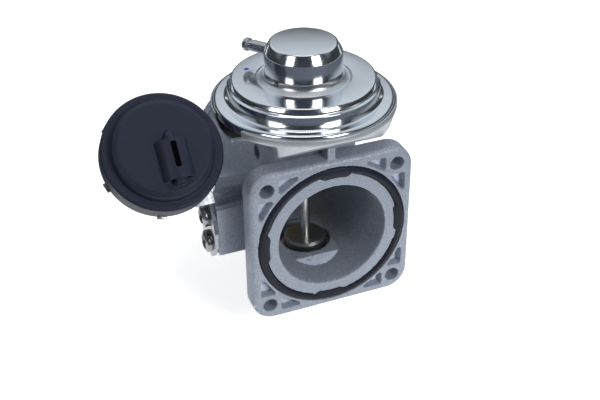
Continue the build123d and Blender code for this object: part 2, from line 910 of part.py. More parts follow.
def make_lever():
    """Flat lever with flats on its hub and a radial slot for the rod's pin."""
    middle = (slot_near + slot_far) / 2
    slot_length = slot_far - slot_near
    slot_width = 2 * (pin_radius + lever_slot_clearance)
    arm_end = slot_far + lever_slot_wall
    hub = Circle(lever_hub)
    tip = Pos(arm_end - lever_width / 2, 0) * Circle(lever_width / 2)
    outline = make_hull((hub + tip).edges())
    outline -= Pos(middle, 0) * SlotOverall(slot_length, slot_width)
    across = 2 * (thread_radius + lever_flat_play + running_gap)
    round_hole = Circle(shaft_radius + running_gap)
    hole = round_hole & Rectangle(across, 3 * shaft_radius)
    outline -= Rot(0, 0, -lever_heading) * Rot(0, 0, 90) * hole
    plate = extrude(outline, lever_thickness)
    upright = Plane(origin=(lever_x, flap_y, 0), x_dir=(0, 1, 0), z_dir=(1, 0, 0))
    return upright * Rot(0, 0, lever_heading) * plate


def make_lever_nut():
    nut = Pos(lever_x, flap_y, 0) * Rot(0, -90, 0) * hexagon(lever_nut_flats, lever_nut_height)
    return nut - along_x(thread_radius + running_gap, lever_x - lever_nut_height - 1, lever_x + 1, y=flap_y)


def make_bracket():
    """Bent sheet: a slanted plate that narrows to the far stud, and an upright plate on the boss."""
    back = -base_depth - bracket_sheet
    right = block_end - actuator_x
    height = bracket_plate_high - bracket_plate_low
    middle = (bracket_plate_low + bracket_plate_high) / 2
    root = Pos(right - bracket_root / 2, middle) * Rectangle(bracket_root, height)
    lug = Pos(-stud_offset, 0) * Circle(bracket_lug_radius)
    blank = make_hull((root + lug).edges()) - Circle(rod_guide_radius + loose_gap)
    for x in (-stud_offset, stud_offset):
        blank -= Pos(x, 0) * Circle(stud_radius + loose_gap / 2)
    slanted = actuator_plane * Pos(0, 0, back) * extrude(blank, bracket_sheet)
    low = actuator_plane.from_local_coords(Vector(0, bracket_plate_low, back))
    high = actuator_plane.from_local_coords(Vector(0, bracket_plate_high - bracket_bend_back, back))
    outline = [
        (low.Y, low.Z),
        (high.Y, high.Z),
        (block_back - bracket_behind, block_bottom),
        *bracket_edge,
    ]
    side = make_face(Polyline([(block_end - bracket_sheet, y, z) for y, z in outline], close=True))
    upright = extrude(side, bracket_sheet, dir=(1, 0, 0))
    corners = [edge for edge in upright.edges().filter_by(Axis.X) if edge.center().Z < low.Z - running_gap]
    upright = fillet(corners, bracket_small_corner)
    hole_radius = bracket_screw_radius + loose_gap / 2
    for y, z in bracket_screw_places:
        upright -= along_x(hole_radius, block_end - bracket_sheet - 1, block_end + 1, y, z)
    return slanted + upright


def make_bracket_screws():
    screws = []
    for y, z in bracket_screw_places:
        screw = socket_head(
            bracket_screw_head,
            bracket_screw_head_height,
            bracket_screw_radius,
            bracket_sheet + bracket_screw_depth - 1,
            2 * socket_across,
            socket_depth,
        )
        screws.append(Pos(block_end - bracket_sheet, y, z) * Rot(0, -90, 0) * screw)
    return Compound(children=screws)


def make_actuator_base():
    """Deep back shell of the actuator with its flange, studs and hole for the rod guide."""
    t = base_sheet
    top = -cover_skirt
    outline = [
        (rod_guide_radius, -base_depth),
        (base_floor_radius, -base_depth),
        (base_body_radius - base_taper, -base_depth + base_taper_height),
        (base_body_radius, top - base_flange),
        (base_flange_radius, top - base_flange),
        (base_flange_radius, top),
        (base_body_radius - t, top),
        (base_body_radius - base_taper - t, -base_depth + base_taper_height + base_floor_step),
        (base_floor_radius - base_floor_step, -base_depth + t),
        (rod_guide_radius, -base_depth + t),
    ]
    shell = turned(outline)
    for x in (-stud_offset, stud_offset):
        shell += rod(stud_radius, -base_depth - stud_length, -base_depth + t / 2, x)
    for turn in crimp_turns:
        place = Rot(0, 0, turn) * Pos(base_flange_radius, 0, top - base_flange / 2)
        shell += place * Box(crimp_length, crimp_width, base_flange)
    return actuator_plane * shell


def make_cover_shell():
    """Moulded cover: a raised disc on a rounded shoulder, and a skirt down to the joint."""
    w = cover_wall
    raised = cover_raised_radius
    face = cover_face_height
    inside = raised - w
    outline = [
        (0, face),
        (cover_face_radius, face),
        (raised - cover_shoulder_in, face - cover_shoulder_down),
        (raised, 0),
        (cover_radius - cover_rim_bevel, 0),
        (cover_radius, -cover_rim_bevel),
        (cover_radius, -cover_skirt),
        (raised + cover_rim_play, -cover_skirt),
        (raised + cover_rim_play, -w),
        (inside, -w),
        (inside - cover_inner_step, face - w - 2 * cover_inner_step),
        (cover_face_radius - 2 * cover_inner_step, face - w),
        (0, face - w),
    ]
    shell = turned(outline)
    ring = [e for e in shell.edges().filter_by(GeomType.CIRCLE) if is_cover_edge(e)]
    return fillet(ring, cover_round)


def is_cover_edge(edge):
    """True for the two circles of the cover's rounded shoulder."""
    places = [
        (cover_face_radius, cover_face_height),
        (cover_raised_radius - cover_shoulder_in, cover_face_height - cover_shoulder_down),
    ]
    return any(abs(edge.radius - r) < 0.01 and abs(edge.center().Z - z) < 0.01 for r, z in places)


def make_cover():
    """Cover with the hooded hose nipple that points down the slope."""
    face = cover_face_height
    shell = make_cover_shell()
    length = hood_top - hood_bottom
    axis_z = face + hood_height - hood_radius
    lay = Pos(hood_x, hood_top, axis_z) * Rot(90, 0, 0)
    outside = lay * extrude(Circle(hood_radius), length)
    inside = lay * Pos(0, 0, hood_wall) * extrude(Circle(hood_radius - hood_wall), length)
    above = Pos(hood_x, (hood_top + hood_bottom) / 2, face + hood_radius - 0.5)
    hood = outside & (above * Box(3 * hood_radius, 3 * length, 2 * hood_radius))
    hood -= inside & (above * Box(3 * hood_radius, 3 * length, 2 * hood_radius - 1))
    slot_length = hood_slot_top - hood_slot_bottom
    middle = (hood_slot_top + hood_slot_bottom) / 2
    hood -= Pos(hood_x, middle, face + hood_height) * Box(hood_slot_width, slot_length, 2 * hood_wall)
    pipe_z = face + hose_pipe_radius - 0.6
    pipe_length = hood_top - hose_pipe_tip
    pipe = Pos(hood_x, hood_top, pipe_z) * Rot(90, 0, 0) * extrude(Circle(hose_pipe_radius), pipe_length)
    bump = Pos(hood_x, hood_top, face) * scale(Sphere(port_dome_radius), (1, 1.7, 1.15))
    bore = Pos(hood_x, 0, pipe_z) * Rot(90, 0, 0) * extrude(Circle(hose_pipe_bore), -hose_pipe_tip + 1)
    inlet = rod(hose_pipe_bore, face - cover_wall - 1, pipe_z, hood_x, -hose_pipe_bore)
    dome = bump & (Pos(hood_x, 0, face + 4.5) * Box(20, 40, 10))
    return actuator_plane * (shell + hood + pipe + dome - bore - inlet)


def make_actuator_nuts():
    nuts = []
    for x in (-stud_offset, stud_offset):
        low = -base_depth - bracket_sheet - nut_height
        nut = Pos(x, 0, low) * hexagon(nut_flats, nut_height)
        nut -= rod(stud_radius + running_gap, low - 1, low + nut_height + 1, x)
        nuts.append(actuator_plane * nut)
    return Compound(children=nuts)


def make_rod_guide():
    """Plastic sleeve in the base that guides the rod."""
    low = -base_depth - rod_guide_out
    inside = -base_depth + base_sheet
    collar = rod(rod_guide_radius + rod_guide_collar, inside, inside + rod_guide_flange)
    sleeve = rod(rod_guide_radius, low, inside + rod_guide_flange) + collar
    return actuator_plane * (sleeve - rod(rod_radius + running_gap, low - 1, 0))


def make_piston():
    """Plate that the diaphragm pushes against, riveted to the rod."""
    t = piston_sheet
    low = piston_z()
    outline = [
        (rod_radius, low),
        (piston_radius, low),
        (piston_radius, low + piston_lip),
        (piston_radius - t, low + piston_lip),
        (piston_radius - t, low + t),
        (piston_boss_radius, low + t),
        (piston_boss_radius, low + piston_boss_height),
        (rod_radius, low + piston_boss_height),
    ]
    return actuator_plane * turned(outline)


def piston_z():
    """Height of the piston plate's back at rest, just off the rod guide's collar."""
    return -base_depth + base_sheet + rod_guide_flange + diaphragm_sheet + loose_gap


def make_rod():
    """Round rod with a flat eye at its far end."""
    shaft = rod(rod_radius, -pin_distance + rod_eye_radius - rod_in_eye, piston_z() + piston_boss_height)
    half = rod_eye_width / 2
    eye = Pos(0, 0, -pin_distance) * along_x(rod_eye_radius, -half, half)
    hole = Pos(0, 0, -pin_distance) * along_x(pin_radius, -half - 1, half + 1)
    return actuator_plane * (shaft + eye - hole)


def make_pin():
    """Headed pin through the rod's eye and the lever's slot, grooved for its clip."""
    head = rod_eye_width / 2
    start = clip_start()
    pin = along_x(pin_radius, -head - pin_head, start + clip_thickness + pin_end)
    pin += along_x(pin_radius + pin_head, -head - pin_head, -head)
    groove = along_x(pin_radius + 1, start, start + clip_thickness)
    groove -= along_x(pin_radius - pin_groove, start - 1, start + clip_thickness + 1)
    return actuator_plane * Pos(0, 0, -pin_distance) * (pin - groove)


def clip_start():
    """Place of the clip along the pin, just past the lever."""
    return lever_x + lever_thickness - actuator_x + loose_gap


def make_pin_clip():
    """Open spring clip in the pin's groove."""
    start = clip_start()
    ring = along_x(clip_radius, start, start + clip_thickness)
    ring -= along_x(pin_radius - pin_groove + running_gap, start - 1, start + clip_thickness + 1)
    gap = Pos(start, 0, clip_radius) * Box(4 * clip_thickness, clip_mouth, 2 * clip_radius)
    return actuator_plane * Pos(0, 0, -pin_distance) * (ring - gap)


disc, disc_bottom = make_disc()
floor_top = cover_face_height - cover_wall
piston_top = piston_z() + piston_sheet
valve_diaphragm = rolled_diaphragm(
    clamp=diaphragm_z,
    hub=hub_z,
    outer=rim_radius - sheet,
    fold=bowl_radius - 2.5,
    inner=plate_disc_radius + 0.8,
    hole=stem_thread_radius,
    roll=-1.2,
)
actuator_diaphragm = rolled_diaphragm(
    clamp=-cover_skirt + running_gap,
    hub=piston_z() - diaphragm_sheet - running_gap,
    outer=cover_raised_radius + 0.5,
    fold=base_body_radius - base_sheet - 1.0,
    inner=piston_radius + 1.2,
    hole=rod_radius + 0.3,
    roll=4.0,
)

save("housing", make_housing())
save("flange_o_ring", o_ring_torus(o_ring_section))
save("valve_seat", make_seat())
save("valve_disc", disc)
save("valve_stem", make_stem(disc_bottom))
save("stem_guide", make_guide())
save("stem_seal", make_stem_seal())
save("seal_cap", make_seal_cap())
save("can_cradle", make_cradle())
save("lower_can", make_lower_can())
save("upper_can", make_upper_can())
save("can_nipple", make_can_nipple())
save("can_screws", make_can_screws())
save("valve_diaphragm", on_valve(valve_diaphragm))
save("diaphragm_plate_lower", plate_disc(hub_z, up=False))
save("diaphragm_plate_upper", plate_disc(hub_z + diaphragm_sheet, up=True))
save("stem_nut", make_stem_nut())
valve_coil = coil(spring_radius, spring_wire, plate_disc_top, dome_inner_top, spring_turns)
save("valve_spring", on_valve(valve_coil))
save("flap_shaft", make_flap_shaft())
save("flap_plate", make_flap_plate())
save("flap_screws", make_flap_screws())
save("shaft_bush_left", make_bush(left_boss_end + seal_length, -bore_radius))
save("shaft_bush_right", make_bush(bore_radius, right_boss_end - plug_thickness))
save("shaft_seal", make_shaft_seal())
save("shaft_plug", make_shaft_plug())
save("flap_lever", make_lever())
save("lever_nut", make_lever_nut())
save("actuator_bracket", make_bracket())
save("bracket_screws", make_bracket_screws())
save("actuator_base", make_actuator_base())
save("actuator_cover", make_cover())
save("actuator_nuts", make_actuator_nuts())
save("rod_guide", make_rod_guide())
save("actuator_diaphragm", actuator_plane * actuator_diaphragm)
actuator_coil = coil(actuator_spring_radius, actuator_wire, piston_top, floor_top, actuator_spring_turns)
save("actuator_spring", actuator_plane * actuator_coil)
save("actuator_piston", make_piston())
save("actuator_rod", make_rod())
save("rod_pin", make_pin())
save("pin_clip", make_pin_clip())

print("rod travel", round(rod_travel, 3), "ratio", round(rod_travel / radians(flap_turn), 4))
print("pin", round(pin_y, 3), round(pin_z, 3), "rod offset", round(rod_offset, 3))
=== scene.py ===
import json
from math import ceil, cos, pi, radians, sin, tan

import bmesh
import bpy
from mathutils import Matrix, Vector


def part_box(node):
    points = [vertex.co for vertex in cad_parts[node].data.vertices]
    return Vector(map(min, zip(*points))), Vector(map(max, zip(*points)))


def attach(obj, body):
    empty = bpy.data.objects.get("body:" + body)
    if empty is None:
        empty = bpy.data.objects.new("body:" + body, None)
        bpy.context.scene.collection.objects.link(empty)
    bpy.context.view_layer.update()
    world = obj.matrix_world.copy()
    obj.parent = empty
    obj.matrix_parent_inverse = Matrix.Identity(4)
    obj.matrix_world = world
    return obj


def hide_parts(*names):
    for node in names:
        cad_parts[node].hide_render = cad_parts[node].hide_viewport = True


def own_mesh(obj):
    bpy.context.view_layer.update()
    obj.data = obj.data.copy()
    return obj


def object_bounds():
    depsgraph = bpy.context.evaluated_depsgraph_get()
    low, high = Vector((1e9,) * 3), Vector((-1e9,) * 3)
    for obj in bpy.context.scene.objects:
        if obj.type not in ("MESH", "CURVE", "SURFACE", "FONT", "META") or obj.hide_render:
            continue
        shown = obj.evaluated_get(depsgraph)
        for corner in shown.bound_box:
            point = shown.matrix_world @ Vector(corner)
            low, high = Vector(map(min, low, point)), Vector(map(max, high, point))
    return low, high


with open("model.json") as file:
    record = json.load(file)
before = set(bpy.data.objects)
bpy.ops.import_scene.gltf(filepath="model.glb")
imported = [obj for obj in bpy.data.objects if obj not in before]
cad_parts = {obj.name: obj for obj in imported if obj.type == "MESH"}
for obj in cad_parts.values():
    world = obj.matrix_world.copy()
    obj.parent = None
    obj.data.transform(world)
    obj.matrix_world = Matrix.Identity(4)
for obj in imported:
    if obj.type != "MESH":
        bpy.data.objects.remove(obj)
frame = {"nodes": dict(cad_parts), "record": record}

MM = 0.001
cad_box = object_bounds()

# Places on the object, in millimetres of the row frame
VALVE_Y = 34.35
ACTUATOR = Vector((-69.6, 20.9, 49.0))
ACTUATOR_TILT = 45.0
NIPPLE_Z = 73.5
NIPPLE_HEADING = 128.0

# Recesses of the casting that get a lighter copy of its finish as painted light: their limits, and how far
# their faces turn to the front or upward
POCKET_LIP = 1.0
POCKET_FLOOR = 6.0
POCKET_RADIUS = 37.0
POCKET_REACH = 38.0
POCKET_FACING = -0.8
RAMP_FRONT = 13.6
RAMP_BACK = 19.2
RAMP_TOP = -23.2
RAMP_FACING = -0.25
RAMP_UPWARD = 0.6

# Hood on the actuator's cover, from the actuator's own axis, and the wall that its hollow leaves; the faces
# inside the hollow get painted shade
COVER_FACE = 5.6
HOOD_X = 2.8
HOOD_TOP = 2.2
HOOD_BOTTOM = -15.0
HOOD_RADIUS = 7.0
HOOD_HEIGHT = 6.0
HOOD_WALL = 0.6
HOOD_SIDE_WALL = 1.0
HOOD_END_WALL = 1.4
HOLLOW_DEPTH = 0.3
PIPE_RISE = 2.0
PIPE_RADIUS = 2.6
PIPE_MARGIN = 0.2
PIPE_END = 2.5

# Ring gasket of the square flange: pads at four headings, which reach over the inner edge of the groove
# and have rounded ends. Heights are shares of the ring's own, above the flange's face
GASKET_STEPS = 240
GASKET_SIDES = 24
GASKET_PADS = (88, 178.5, -92.5, 3.5)
PAD_STEPS = 20
PAD_SPREAD = 12.5
PAD_REACH = 1.3
PAD_LEAST_REACH = 0.1
PAD_GROOVE = 32.0
PAD_HEIGHT = 0.95
PAD_SHOULDER = 0.5
PAD_SLOPE = 0.3
PAD_SINK = 0.2
PAD_ROOT = 0.3
PAD_END_RISE = 2.6
PAD_END_POWER = 0.7

# Radius of the valve diaphragm's middle that its plates clamp
CLAMP_RADIUS = 20.0

# Distance within which points of neighbouring faces are joined
WELD = 0.002

# Soft edges of the cast and moulded pieces and of the pressed cup: voxel size and smoothing passes
CASTING_GRID = (0.38, 3)
CUP_GRID = (0.3, 24)
COVER_GRID = (0.25, 4)

# The photograph's camera, solved from the square flange and the can's circles
CAMERA_AZIMUTH = -21.51
CAMERA_ELEVATION = 33.20
CAMERA_ROLL = -0.645
CAMERA_LENS = 60.49
CAMERA_SIDE = -14.96
CAMERA_RISE = 16.16
CAMERA_DISTANCE = 457.3
SENSOR_WIDTH = 36

# Paint dot on the can, and the ring at the dome's foot that is less polished: its fade in and fade out
DOT_PLACE = (-21.4, 50.1, 65.0)
DOT_RADIUS = 1.3
FOOT_IN = (17.7, 18.6)
FOOT_OUT = (20.4, 21.2)
FOOT_ROUGHNESS = 0.3

# Studio light: colour of the surroundings, their brightness by the sine of the elevation and by the heading
# (the share in front of the part, and where it rises to the full one), the floor, and the height in metres
# that the lamps point at
SURROUNDINGS = (0.86, 0.93, 1.0)
HORIZON_LEVEL = 0.05
HIGH_LEVEL = 0.74
HORIZON_SINE = 0.27
HIGH_SINE = 0.5
FRONT_SHARE = 0.14
SHARE_START = -0.4
SHARE_END = 0.3
FLOOR_COLOUR = 0.6
FLOOR_LIFT = 0.72
FLOOR_RADIUS = 4.0
LAMP_AIM = 0.04

# Softboxes: heading from the camera's, elevation, distance, width, height, power, and if metal mirrors them
SOFTBOXES = {
    "left_softbox": (-41, 27, 0.95, 0.32, 0.46, 1.3, True),
    "right_softbox": (41, 27, 0.95, 0.36, 0.5, 2.4, True),
    "overhead": (0, 80, 1.1, 0.8, 0.2, 1.2, True),
    "key": (43, 25, 1.3, 0.3, 0.3, 7.5, False),
    "back_key": (158, 42, 1.3, 0.5, 0.5, 5.5, False),
    "side_key": (-105, 30, 1.3, 0.5, 0.5, 1.2, False),
}

# Dark cards, in metres: corners of the front one by radius and height, and the radius round the part that
# the one on the floor leaves bare
CARD_STEPS = 48
CARD_LIFT = 0.0005
CARD_RADIUS = 1.5
FRONT_CARD_SPREAD = 74
FRONT_CARD_CORNERS = ((CARD_RADIUS, 0.0), (CARD_RADIUS, 1.1), (1.05, 1.9))
FRONT_CARD_SHADE = 0.1
TABLE_CARD_INNER = 0.16
TABLE_CARD_SHADE = 0.12
CARD_TINT = (0.8, 0.9, 1.1)

valve_place = Matrix.Translation((0, VALVE_Y, 0))
actuator_place = Matrix.Translation(ACTUATOR) @ Matrix.Rotation(radians(ACTUATOR_TILT), 4, "X")


def direction(azimuth, elevation):
    """Unit vector towards a heading: azimuth 0 is the -Y side, 90 the +X side."""
    a = radians(azimuth)
    e = radians(elevation)
    return Vector((sin(a) * cos(e), -cos(a) * cos(e), sin(e)))


# Meshes

def soften(corners):
    """Closed outline from (x, y, radius) corners, each radius drawn as an arc."""
    points = []
    count = len(corners)
    for index, (x, y, radius) in enumerate(corners):
        corner = Vector((x, y))
        if radius == 0:
            points.append(corner)
            continue
        before = Vector(corners[index - 1][:2]) - corner
        after = Vector(corners[(index + 1) % count][:2]) - corner
        half = before.angle(after) / 2
        reach = min(radius / tan(half), before.length * 0.48, after.length * 0.48)
        start = before.normalized() * reach
        end = after.normalized() * reach
        centre = (start + end).normalized() * (reach / cos(half))
        turn = pi - 2 * half
        steps = max(2, ceil(turn / radians(9)))
        for step in range(steps + 1):
            share = step / steps
            near = (start - centre) * sin((1 - share) * turn)
            far = (end - centre) * sin(share * turn)
            points.append(corner + centre + (near + far) / sin(turn))
    return points


def add_object(name, mesh):
    item = bpy.data.objects.new(name, mesh)
    bpy.context.scene.collection.objects.link(item)
    return item


def lathe(name, corners, place, segments=192):
    """Solid of revolution about the local Z axis from (radius, height, rounding) corners."""
    outline = soften(corners)
    shape = bmesh.new()
    rings = []
    for point in outline:
        radius, height = point
        if radius < 1e-6:
            rings.append([shape.verts.new((0, 0, height))])
            continue
        turns = [2 * pi * k / segments for k in range(segments)]
        rings.append([shape.verts.new((radius * cos(t), radius * sin(t), height)) for t in turns])
    for index, ring in enumerate(rings):
        following = rings[(index + 1) % len(rings)]
        if len(ring) == 1 and len(following) == 1:
            continue
        for k in range(segments):
            after = (k + 1) % segments
            if len(ring) == 1:
                shape.faces.new((ring[0], following[k], following[after]))
            elif len(following) == 1:
                shape.faces.new((ring[k], following[0], ring[after]))
            else:
                shape.faces.new((ring[k], following[k], following[after], ring[after]))
    bmesh.ops.recalc_face_normals(shape, faces=shape.faces)
    bmesh.ops.transform(shape, matrix=Matrix.Scale(MM, 4) @ place, verts=shape.verts)
    mesh = bpy.data.meshes.new(name)
    shape.to_mesh(mesh)
    shape.free()
    item = add_object(name, mesh)
    smooth_shade(item, 30)
    return item


def smooth_shade(item, angle):
    """Smooth shading, with edges sharper than the angle left sharp."""
    item.data.shade_smooth()
    item.data.set_sharp_from_angle(angle=radians(angle))


def settle(item):
    """Apply the modifiers of a piece."""
    evaluated = item.evaluated_get(bpy.context.evaluated_depsgraph_get())
    mesh = bpy.data.meshes.new_from_object(evaluated)
    old = item.data
    item.modifiers.clear()
    item.data = mesh
    bpy.data.meshes.remove(old)


def welded_copy(name, node):
    """Copy of a CAD node with its face borders joined."""
    shape = bmesh.new()
    shape.from_mesh(frame["nodes"][node].data)
    bmesh.ops.remove_doubles(shape, verts=shape.verts, dist=WELD * MM)
    mesh = bpy.data.meshes.new(name)
    shape.to_mesh(mesh)
    shape.free()
    if "custom_normal" in mesh.attributes:
        mesh.attributes.remove(mesh.attributes["custom_normal"])
    return add_object(name, mesh)


def moulded(name, node, voxel, passes):
    """A CAD node with a small radius on every edge and in every root, as a mould leaves them."""
    item = welded_copy(name, node)
    remesh = item.modifiers.new("grid", "REMESH")
    remesh.mode = "VOXEL"
    remesh.voxel_size = voxel * MM
    relax = item.modifiers.new("relax", "SMOOTH")
    relax.factor = 0.5
    relax.iterations = passes
    settle(item)
    item.data.shade_smooth()
    return item


def edged(name, node, width, segments=2):
    """A CAD node with its sharp edges broken by a small bevel."""
    item = welded_copy(name, node)
    bevel = item.modifiers.new("edges", "BEVEL")
    bevel.width = width * MM
    bevel.segments = segments
    bevel.limit_method = "ANGLE"
    bevel.angle_limit = radians(30)
    bevel.use_clamp_overlap = True
    bevel.harden_normals = False
    settle(item)
    smooth_shade(item, 35)
    return item


# Materials

class Finish:
    """Node material built up from object-space patterns."""

    def __init__(self, name, colour, metallic, roughness):
        self.material = bpy.data.materials.new(name)
        self.material.use_nodes = True
        self.nodes = self.material.node_tree.nodes
        self.links = self.material.node_tree.links
        self.shader = self.nodes["Principled BSDF"]
        self.shader.inputs["Base Color"].default_value = (*colour, 1)
        self.shader.inputs["Metallic"].default_value = metallic
        self.shader.inputs["Roughness"].default_value = roughness
        self.colour = colour
        self.place = self.add("ShaderNodeTexCoord").outputs["Object"]
        self.normal = None
        self.tint = None

    def add(self, kind, **settings):
        node = self.nodes.new(kind)
        for key, value in settings.items():
            setattr(node, key, value)
        return node

    def noise(self, size, detail=3, stretch=None, rough=0.5):
        """Noise whose features are about size millimetres across."""
        node = self.add("ShaderNodeTexNoise")
        node.inputs["Scale"].default_value = 1 / (size * MM)
        node.inputs["Detail"].default_value = detail
        node.inputs["Roughness"].default_value = rough
        source = self.place
        if stretch:
            mapping = self.add("ShaderNodeMapping")
            mapping.inputs["Scale"].default_value = stretch
            self.links.new(source, mapping.inputs["Vector"])
            source = mapping.outputs["Vector"]
        self.links.new(source, node.inputs["Vector"])
        return node.outputs["Fac"]

    def span(self, value, low, high, start=0.3, end=0.7):
        """A pattern mapped to the range from low to high."""
        node = self.add("ShaderNodeMapRange")
        node.inputs["From Min"].default_value = start
        node.inputs["From Max"].default_value = end
        node.inputs["To Min"].default_value = low
        node.inputs["To Max"].default_value = high
        self.links.new(value, node.inputs["Value"])
        return node.outputs["Result"]

    def stain(self, value, colour):
        """Blend a colour in by a pattern of 0 to 1."""
        mix = self.add("ShaderNodeMix", data_type="RGBA")
        self.links.new(value, mix.inputs["Factor"])
        if self.tint is None:
            mix.inputs[6].default_value = (*self.colour, 1)
        else:
            self.links.new(self.tint, mix.inputs[6])
        mix.inputs[7].default_value = (*colour, 1)
        self.tint = mix.outputs[2]
        self.links.new(self.tint, self.shader.inputs["Base Color"])

    def gloss(self, value):
        self.links.new(value, self.shader.inputs["Roughness"])

    def relief(self, value, height, strength=1.0):
        """Bump of a height in millimetres."""
        bump = self.add("ShaderNodeBump")
        bump.inputs["Distance"].default_value = height * MM
        bump.inputs["Strength"].default_value = strength
        self.links.new(value, bump.inputs["Height"])
        if self.normal is not None:
            self.links.new(self.normal, bump.inputs["Normal"])
        self.normal = bump.outputs["Normal"]
        self.links.new(self.normal, self.shader.inputs["Normal"])

    def maths(self, operation, first, second=None):
        node = self.add("ShaderNodeMath", operation=operation)
        for socket, value in zip(node.inputs, (first, second)):
            if value is None:
                continue
            if isinstance(value, (int, float)):
                socket.default_value = value
            else:
                self.links.new(value, socket)
        return node.outputs["Value"]

    def axis_distance(self, centre):
        """Distance in metres from an upright axis through a point in millimetres."""
        mapping = self.add("ShaderNodeMapping")
        mapping.inputs["Location"].default_value = tuple(-c * MM for c in centre)
        self.links.new(self.place, mapping.inputs["Vector"])
        flat = self.add("ShaderNodeVectorMath", operation="MULTIPLY")
        flat.inputs[1].default_value = (1, 1, 0)
        self.links.new(mapping.outputs["Vector"], flat.inputs[0])
        length = self.add("ShaderNodeVectorMath", operation="LENGTH")
        self.links.new(flat.outputs["Vector"], length.inputs[0])
        return length.outputs["Value"]

    def rings(self, centre, pitch):
        """Turning marks about an upright axis, from -1 to 1."""
        turns = self.maths("MULTIPLY", self.axis_distance(centre), 2 * pi / (pitch * MM))
        return self.maths("SINE", turns)

    def spot(self, centre, radius):
        """A pattern that is 1 inside a soft-edged ball about a point in millimetres."""
        away = self.add("ShaderNodeVectorMath", operation="DISTANCE")
        self.links.new(self.place, away.inputs[0])
        away.inputs[1].default_value = tuple(c * MM for c in centre)
        return self.span(away.outputs["Value"], 1, 0, radius * 0.8 * MM, radius * MM)


def cast_aluminium(name, lightness):
    """Blasted die casting: fine grain, faint blotches, and a colour that is lighter on sharp edges and
    darker in tight roots, by the mesh's pointiness.
    """
    base = tuple(c * lightness for c in (0.325, 0.36, 0.43))
    blotch = tuple(c * lightness for c in (0.30, 0.335, 0.405))
    finish = Finish(name, base, 0.4, 0.5)
    finish.stain(finish.span(finish.noise(9, 4), 0, 0.35), blotch)
    finish.stain(finish.span(finish.noise(0.8, 2), 0, 0.6, 0.5, 0.72), (0.56, 0.60, 0.68))
    finish.stain(finish.span(finish.noise(1.4, 2), 0.5, 0, 0.28, 0.46), (0.22, 0.245, 0.30))
    edge = finish.add("ShaderNodeNewGeometry").outputs["Pointiness"]
    finish.stain(finish.span(edge, 0, 0.8, 0.52, 0.62), (0.72, 0.77, 0.84))
    finish.stain(finish.span(edge, 0.7, 0, 0.38, 0.48), (0.24, 0.27, 0.32))
    finish.gloss(finish.span(finish.noise(2.5, 3), 0.42, 0.6))
    finish.relief(finish.noise(0.7, 3, rough=0.6), 0.09, 0.7)
    finish.relief(finish.noise(6, 2), 0.12, 0.6)
    return finish.material


def bright_plating():
    """Polished plating over pressed steel, with faint spinning marks and a paint dot."""
    finish = Finish("bright_plating", (0.82, 0.85, 0.885), 1.0, 0.12)
    finish.stain(finish.span(finish.noise(14, 3), 0, 0.3), (0.72, 0.76, 0.81))
    finish.stain(finish.spot(DOT_PLACE, DOT_RADIUS), (0.01, 0.08, 0.75))
    away = finish.axis_distance((0, VALVE_Y, 0))
    fade_in = finish.span(away, 0, 1, FOOT_IN[0] * MM, FOOT_IN[1] * MM)
    fade_out = finish.span(away, FOOT_ROUGHNESS, 0, FOOT_OUT[0] * MM, FOOT_OUT[1] * MM)
    foot = finish.maths("MULTIPLY", fade_in, fade_out)
    finish.gloss(finish.maths("ADD", finish.span(finish.noise(5, 4), 0.1, 0.16), foot))
    finish.relief(finish.rings((0, VALVE_Y, 0), 0.9), 0.0012, 0.5)
    finish.relief(finish.noise(7, 2), 0.035, 0.35)
    return finish.material


def satin_sheet():
    """Plated sheet steel, satin, slightly cool."""
    finish = Finish("satin_sheet", (0.60, 0.63, 0.66), 0.8, 0.44)
    finish.stain(finish.span(finish.noise(12, 3), 0, 0.35), (0.52, 0.55, 0.58))
    finish.gloss(finish.span(finish.noise(6, 3), 0.38, 0.5))
    finish.relief(finish.noise(1.2, 3), 0.004, 0.5)
    finish.relief(finish.noise(11, 2), 0.05, 0.4)
    return finish.material


def turned_steel(name, colour, roughness, pitch, height):
    """Turned or ground steel with rings about the valve axis."""
    finish = Finish(name, colour, 1.0, roughness)
    finish.stain(finish.span(finish.noise(6, 2), 0, 0.25), tuple(c * 0.75 for c in colour))
    finish.gloss(finish.span(finish.noise(2.5, 2), roughness - 0.03, roughness + 0.04))
    finish.relief(finish.rings((0, VALVE_Y, 0), pitch), height, 0.8)
    finish.relief(finish.noise(0.8, 2), 0.0015, 0.4)
    return finish.material


def plain_metal(name, colour, roughness, grain=0.006, stretch=None):
    """Small metal pieces: patchy gloss and a fine grain."""
    finish = Finish(name, colour, 1.0, roughness)
    finish.stain(finish.span(finish.noise(3, 4), 0, 0.45), tuple(c * 0.65 for c in colour))
    finish.gloss(finish.span(finish.noise(1.6, 3), roughness - 0.07, roughness + 0.1))
    finish.relief(finish.noise(0.5, 3, stretch), grain, 0.6)
    return finish.material


def black_moulding():
    """Black moulded plastic with a fine eroded texture."""
    finish = Finish("black_moulding", (0.014, 0.018, 0.036), 0.0, 0.47)
    finish.shader.inputs["Specular IOR Level"].default_value = 0.35
    finish.stain(finish.span(finish.noise(6, 3), 0, 0.4), (0.010, 0.0125, 0.025))
    finish.stain(finish.span(finish.noise(0.6, 2), 0, 0.35, 0.5, 0.8), (0.025, 0.029, 0.052))
    finish.gloss(finish.span(finish.noise(1.1, 3), 0.4, 0.56))
    finish.relief(finish.noise(0.35, 3), 0.022, 0.6)
    finish.relief(finish.noise(5, 2), 0.06, 0.4)
    return finish.material


def painted_shade_plastic():
    """The same plastic, near black deep inside the hood: painted shade where little light reaches."""
    finish = Finish("painted_shade_plastic", (0.0012, 0.0014, 0.002), 0.0, 0.8)
    finish.shader.inputs["Specular IOR Level"].default_value = 0.05
    finish.stain(finish.span(finish.noise(1.5, 2), 0, 0.5), (0.002, 0.0022, 0.003))
    finish.relief(finish.noise(0.35, 3), 0.02, 0.6)
    return finish.material


